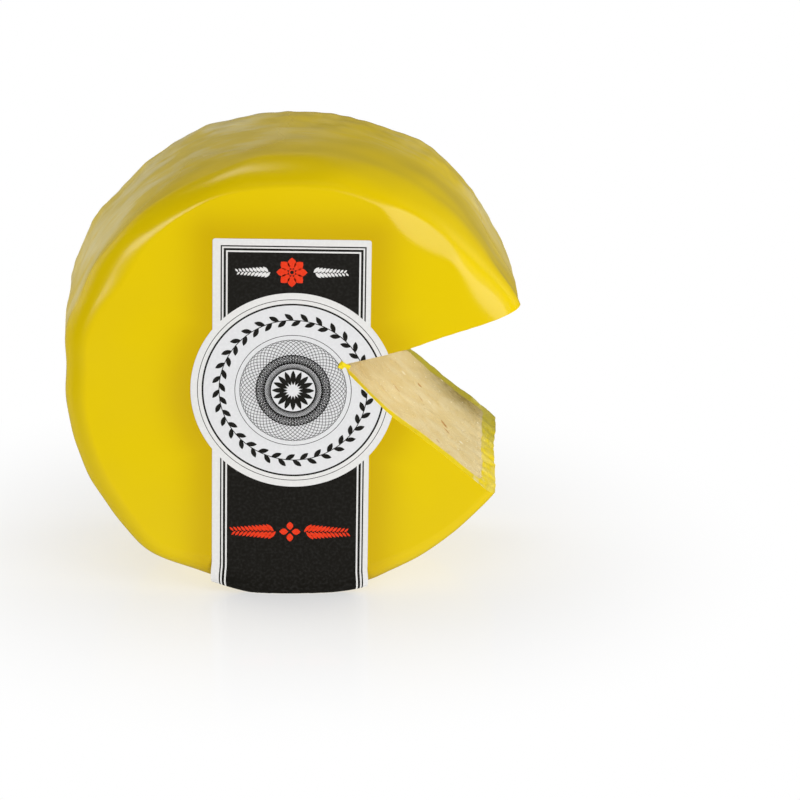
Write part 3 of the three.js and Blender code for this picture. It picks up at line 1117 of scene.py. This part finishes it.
# The printed ornaments: place on the label's plane in mm, then the tree's inputs in this order, lengths in mm
ornamentInputs = {
    "petals": ("Count", "Circle", "Length", "Width", "Lean", "Both Sides"),
    "lines": ("Count", "Long", "Short", "Line"),
    "sprig": ("Count", "Step", "Length", "Width", "Way"),
}
plainNumbers = ("Count", "Lean", "Both Sides", "Way")
quarterTurn = 1.5708
ornaments = {
    "leafWreath": ("petals", "ink", -0.3, -2.2, 64, 28.5, 4.3, 1.9, 0.62, 1.0),
    "wreathStem": ("lines", "ink", -0.3, -2.2, 1, 28.5, 28.5, 0.32),
    "fineRosette": ("lines", "ink", -0.3, -2.2, 30, 20.6, 8.6, 0.17),
    "innerRosette": ("lines", "ink", -0.3, -2.2, 18, 14.4, 11.0, 0.2),
    "darkPetals": ("petals", "ink", -0.3, -2.2, 16, 2.2, 6.0, 2.0, quarterTurn),
    "redRosette": ("petals", "redInk", -1.1, 45.6, 8, 1.3, 4.6, 3.4, quarterTurn),
    "redRing": ("lines", "redInk", -1.1, 45.6, 1, 1.0, 1.0, 0.6),
    "whiteSprigRight": ("sprig", "paperWhite", 7.2, 45.6, 18, 0.72, 3.0, 1.3, 1.0),
    "whiteSprigLeft": ("sprig", "paperWhite", -9.4, 45.6, 18, 0.72, 3.0, 1.3, -1.0),
    "redDiamond": ("petals", "redInk", -1.1, -60.4, 4, 0.7, 3.4, 2.6, quarterTurn),
    "redSprigRight": ("sprig", "redInk", 4.4, -60.4, 22, 0.78, 4.3, 1.5, 1.0),
    "redSprigLeft": ("sprig", "redInk", -6.6, -60.4, 22, 0.78, 4.3, 1.5, -1.0),
}


def makeOrnaments():
    trees = {"petals": petalTree(), "lines": lineTree(), "sprig": sprigTree()}
    made = {}
    for name, (kind, ink, u, v, *sizes) in ornaments.items():
        x, z = fromLabel(u * mm, v * mm)
        values = {"Centre": (x, paperFront - label["printLift"], z), "Turn": label["turn"]}
        values["Material"] = printMaterials[ink]
        for key, size in zip(ornamentInputs[kind], sizes):
            values[key] = size if key in plainNumbers else size * mm
        made[name] = grown(name, trees[kind], values)
    return made


# Number is for each 100 square centimetres
crumbs = {
    "crystals": {"Number": 170.0, "Smallest": 0.16 * mm, "Largest": 0.36 * mm, "Flatness": 0.6, "Seed": 4},
    "curds": {"Number": 2600.0, "Smallest": 0.2 * mm, "Largest": 0.75 * mm, "Flatness": 0.28, "Seed": 9},
}
# least, most and seed of each grain's stretch and spin, and the noise that dents them all
grainShape = {"stretch": (0.6, 1.7, 17), "spin": (0.0, 2 * math.pi, 5), "dentSize": 1.7}


def crumbTree():
    # small uneven grains strewn over the faces that were cut
    tree, maker, given = newTree("crumbs", {
        "Grain": "Geometry", "Number": 500.0, "Smallest": 0.2 * mm, "Largest": 0.6 * mm, "Flatness": 0.5,
        "Seed": 1, "Material": "Material",
    })

    def random(low, high, seed):
        sockets = {2: low, 3: high, "Seed": seed}
        return maker.node("FunctionNodeRandomValue", {"data_type": "FLOAT"}, sockets, 1)

    chosen = maker.node("FunctionNodeCompare", {"data_type": "INT", "operation": "EQUAL"}, {
        2: maker.node("GeometryNodeInputMaterialIndex"), 3: 1,
    })
    density = given["Number"] * 100.0
    spread = maker.node("GeometryNodeDistributePointsOnFaces", {"distribute_method": "RANDOM"}, {
        "Mesh": given["Grain"], "Selection": chosen, "Density": density, "Seed": given["Seed"],
    })
    ball = maker.node("GeometryNodeMeshIcoSphere", sockets={"Radius": 1.0, "Subdivisions": 1})
    dent = maker.node("ShaderNodeTexNoise", sockets={"Scale": grainShape["dentSize"], "Detail": 1.0})
    own = maker.node("GeometryNodeInputPosition")
    push = maker.node("ShaderNodeVectorMath", {"operation": "SCALE"}, {0: own, "Scale": dent - 0.5})
    grain = maker.node("GeometryNodeSetPosition", sockets={"Geometry": ball, "Offset": push})
    size = random(given["Smallest"], given["Largest"], given["Seed"])
    scale = maker.vector(size * random(*grainShape["stretch"]), size, size * given["Flatness"])
    facing = Wire(maker, spread.socket.node.outputs["Rotation"])
    spin = maker.vector(z=random(*grainShape["spin"]))
    turned = maker.node("FunctionNodeRotateRotation", {"rotation_space": "LOCAL"}, {0: facing, 1: spin})
    grains = maker.node("GeometryNodeInstanceOnPoints", sockets={
        "Points": spread, "Instance": grain, "Rotation": turned, "Scale": scale,
    })
    closeTree(maker, grains, given["Material"])
    return tree


# The chip of torn wax at the tip of the cut
tear = {
    # outline in mm from the wheel's axis
    "outline": [(18.3, 9.9), (19.8, 8.9), (22.0, 7.9), (21.0, 6.2), (18.6, 6.2), (16.8, 7.3), (17.4, 8.8)],
    "steps": 40,
    "proud": 0.7 * mm,
    "dome": [(0.0, 1.0), (0.35, 0.95), (0.65, 0.7), (0.88, 0.35), (1.0, 0.0)],  # shares of reach and height
    "root": 0.9 * mm,
    "rootReaches": (0.9, 0.5, 0.0),
    "waves": ([(4.0, 0.5), (1.6, 0.25)], 31),
}


def tornChip():
    outline = np.array(tear["outline"]) * mm
    middle = outline.mean(axis=0)
    closed = np.vstack([outline, outline[:1]])
    steps = np.linspace(0, len(outline), tear["steps"], endpoint=False)
    ring = np.array([closed[int(t)] + (closed[int(t) + 1] - closed[int(t)]) * (t % 1) for t in steps])
    levels = [(reach, -tear["proud"] * height) for reach, height in tear["dome"]]
    levels += [(reach, tear["root"]) for reach in tear["rootReaches"]]
    rows = []
    for reach, depth in levels:
        x, z = (middle + (ring - middle) * reach).T
        rows.append(np.stack([x, np.full(len(ring), paperFront + depth), z], axis=-1))
    rows = np.array(rows)
    bumps = ripple(rows, *tear["waves"])
    for pole in (0, -1):
        bumps[pole] = bumps[pole].mean()
    rows[..., 1] += bumps
    return closedMesh("tornChip", rows)


waxCutMaterial = cutWaxMaterial()
curdMaterial = pasteMaterial()
sharpAngle = math.radians(40)
for made, materials in ((waxCoat, (waxMaterial(), waxCutMaterial)), (paste, (curdMaterial, curdMaterial))):
    made.data.materials.clear()
    for material in materials:
        made.data.materials.append(material)
    markCut(made)
    made.data.shade_smooth()
    made.data.set_sharp_from_angle(angle=sharpAngle)
markBloomAndPaintedReflection(waxCoat)
for name in printing["colours"]:
    labelPaper.data.materials.append(printMaterials[name])
ornamentPieces = makeOrnaments()
for name in ("leafWreath", "wreathStem"):
    carve(ornamentPieces[name], cutter)
print("ornaments:", len(ornamentPieces))
chip = tornChip()
chip.data.materials.append(waxCutMaterial)
chip.data.shade_smooth()
grainTree = crumbTree()
strewn = {}
for name, material in (("crystals", crystalMaterial()), ("curds", curdMaterial)):
    strewn[name] = grown(name, grainTree, {**crumbs[name], "Material": material}, paste.data.copy())
    print(name + ":", len(strewn[name].data.polygons), "faces")
bpy.data.objects.remove(cutter)
everything = [waxCoat, paste, labelPaper, chip, *ornamentPieces.values(), *strewn.values()]
for made in everything:
    placed(made)
    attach(made, "root")
for made, node in ((waxCoat, "wax_coat"), (paste, "cheese"), (labelPaper, "label")):
    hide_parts(node)
print("materials made")

# The stage: a pale floor that glows, its painted light whitening it away from the cheese, a surround that is
# dim before it, soft boxes
studio = {
    "floorRadius": 4.0,
    "floorSteps": 96,
    "floorColour": (0.86, 0.86, 0.85),
    # lighter away from the cheese: painted light
    "floorAwayLit": (0.9, 0.9, 0.9),
    "floorGloss": {"Roughness": 0.1, "Specular IOR Level": 0.3},
    "whiteFrom": 0.02,
    "whiteTo": 0.2,
    "whiteLeast": 0.5,
    # brightness against the height of the direction, from 0 straight down to 1 straight up, before and behind
    # the cheese
    "inFront": [(0.0, 0.01), (0.7, 0.01), (1.0, 0.03)],
    "behind": [
        (0.0, 0.05), (0.34, 0.18), (0.42, 0.22), (0.5, 0.14), (0.6, 0.1), (0.66, 0.32), (0.7, 0.3),
        (0.76, 0.05), (1.0, 0.03),
    ],
    "behindFrom": (-0.2, 0.2),
    "behindRight": (0.28, -0.05, 0.12),  # dark right of the first, clear left of the second, what stays dark
    # azimuth and height of each soft box as seen from the cheese, distance, size, power, seen in the gloss
    "boxes": {
        "softBoxRight": (28.0, 8.0, 1.3, (0.75, 0.75), 5.9, True),
        "softBoxLeft": (-32.0, 14.0, 1.3, (0.62, 0.4), 4.6, True),
        "softBoxTop": (-150.0, 56.0, 1.5, (0.62, 0.3), 1.9, True),
        "sideFill": (50.0, 23.0, 1.8, (1.0, 1.0), 15.6, False),
        "rightFill": (104.0, 24.0, 1.8, (1.0, 1.0), 13.6, False),
        "leftFill": (-114.0, 16.0, 1.8, (1.0, 1.0), 20.0, False),
        "topFill": (10.0, 62.0, 1.8, (1.0, 1.0), 1.7, False),
        "bounce": (0.0, -90.0, 0.5, (2.4, 2.4), 20.4, False),
    },
}


def makeFloor():
    steps = studio["floorSteps"]
    rim = polar(np.full(steps, studio["floorRadius"]), turnSteps(steps), 0.0)
    points = [(0.0, 0.0, 0.0)] + [(x, y, 0.0) for x, _, y in rim]
    mesh = bpy.data.meshes.new("floor")
    mesh.from_pydata(points, [], [(0, 1 + i, 1 + (i + 1) % steps) for i in range(steps)])
    floor = linked("floor", mesh)
    material, maker, shader = newMaterial("paleFloor", studio["floorGloss"])
    distance = maker.node("ShaderNodeVectorMath", {"operation": "LENGTH"}, {0: maker.place()}, 1)
    outwards = maker.smooth(distance, studio["whiteFrom"], studio["whiteTo"])
    # painted light: the floor glows, least near the cheese so its shade shows there, fully farther away
    paintedGlowShare = outwards * (1 - studio["whiteLeast"]) + studio["whiteLeast"]
    feed(maker, shader, maker.mix(outwards, studio["floorColour"], studio["floorAwayLit"]))
    glow = maker.node("ShaderNodeEmission", sockets={"Color": (1.0, 1.0, 1.0, 1.0), "Strength": 1.0})
    surface = Wire(maker, shader.outputs[0])
    blend = maker.node("ShaderNodeMixShader", sockets={0: paintedGlowShare, 1: surface, 2: glow})
    maker.tree.links.new(blend.socket, maker.tree.nodes["Material Output"].inputs["Surface"])
    mesh.materials.append(material)
    # the gloss and the shaded sides of the wax see the surround and the bounce light in its place
    floor.visible_glossy = False
    floor.visible_diffuse = False
    floor.visible_shadow = False


def makeLights():
    world = bpy.data.worlds.new("surround")
    bpy.context.scene.world = world
    world.use_nodes = True
    maker = NodeMaker(world.node_tree)
    across, depth, height = maker.split(maker.node("ShaderNodeTexCoord"))
    sides = []
    for side in ("inFront", "behind"):
        stops = [(position, (level, level, level)) for position, level in studio[side]]
        sides.append(maker.node("ShaderNodeValToRGB", {"stops": stops}, {0: height * 0.5 + 0.5}))
    darkFrom, darkTo, leftover = studio["behindRight"]
    backdrop = maker.mix(maker.smooth(across, darkFrom, darkTo), (leftover,) * 3, sides[1])
    both = maker.mix(maker.smooth(depth, *studio["behindFrom"]), sides[0], backdrop)
    maker.tree.links.new(both.socket, maker.tree.nodes["Background"].inputs["Color"])
    for name, (azimuth, height, distance, size, power, glossy) in studio["boxes"].items():
        light = bpy.data.lights.new(name, "AREA")
        light.shape = "RECTANGLE"
        light.size, light.size_y = size
        light.energy = power
        lamp = linked(name, light)
        turn = math.radians(azimuth)
        rise = math.radians(height)
        aim = Vector((math.cos(rise) * math.sin(turn), -math.cos(rise) * math.cos(turn), math.sin(rise)))
        lamp.location = Vector(axis) + aim * distance
        lamp.rotation_euler = aim.to_track_quat("Z", "Y").to_euler()
        lamp.visible_camera = False
        lamp.visible_glossy = glossy


shot = {
    "pitch": 19.6,  # degrees that the camera looks down
    "distance": 1900 * mm,
    "pixelsPerMm": 2.6,
    "axisPixel": (293.9, 385.0),  # where the wheel's axis shows on its front plane
    "imageSide": 800,
    "sensor": 36.0,
    "farthest": 20.0,
}


def makeCamera():
    camera = bpy.data.cameras.new("camera")
    camera.sensor_width = shot["sensor"]
    camera.lens = shot["pixelsPerMm"] * shot["distance"] / mm / shot["imageSide"] * shot["sensor"]
    camera.clip_end = shot["farthest"]
    pitch = math.radians(shot["pitch"])
    forward = Vector((0, math.cos(pitch), -math.sin(pitch)))
    up = Vector((0, math.sin(pitch), math.cos(pitch)))
    target = Vector((axis[0], waxLow.y, axis[2]))
    middle = shot["imageSide"] / 2
    right = (shot["axisPixel"][0] - middle) / shot["pixelsPerMm"] * mm
    above = (middle - shot["axisPixel"][1]) / shot["pixelsPerMm"] * mm
    made = linked("camera", camera)
    made.location = target - Vector((1, 0, 0)) * right - up * above - forward * shot["distance"]
    made.rotation_euler = (math.pi / 2 - pitch, 0, 0)
    bpy.context.scene.camera = made


makeFloor()
makeLights()
makeCamera()
bpy.context.scene.view_settings.view_transform = "Standard"
print("stage, lights and camera made")
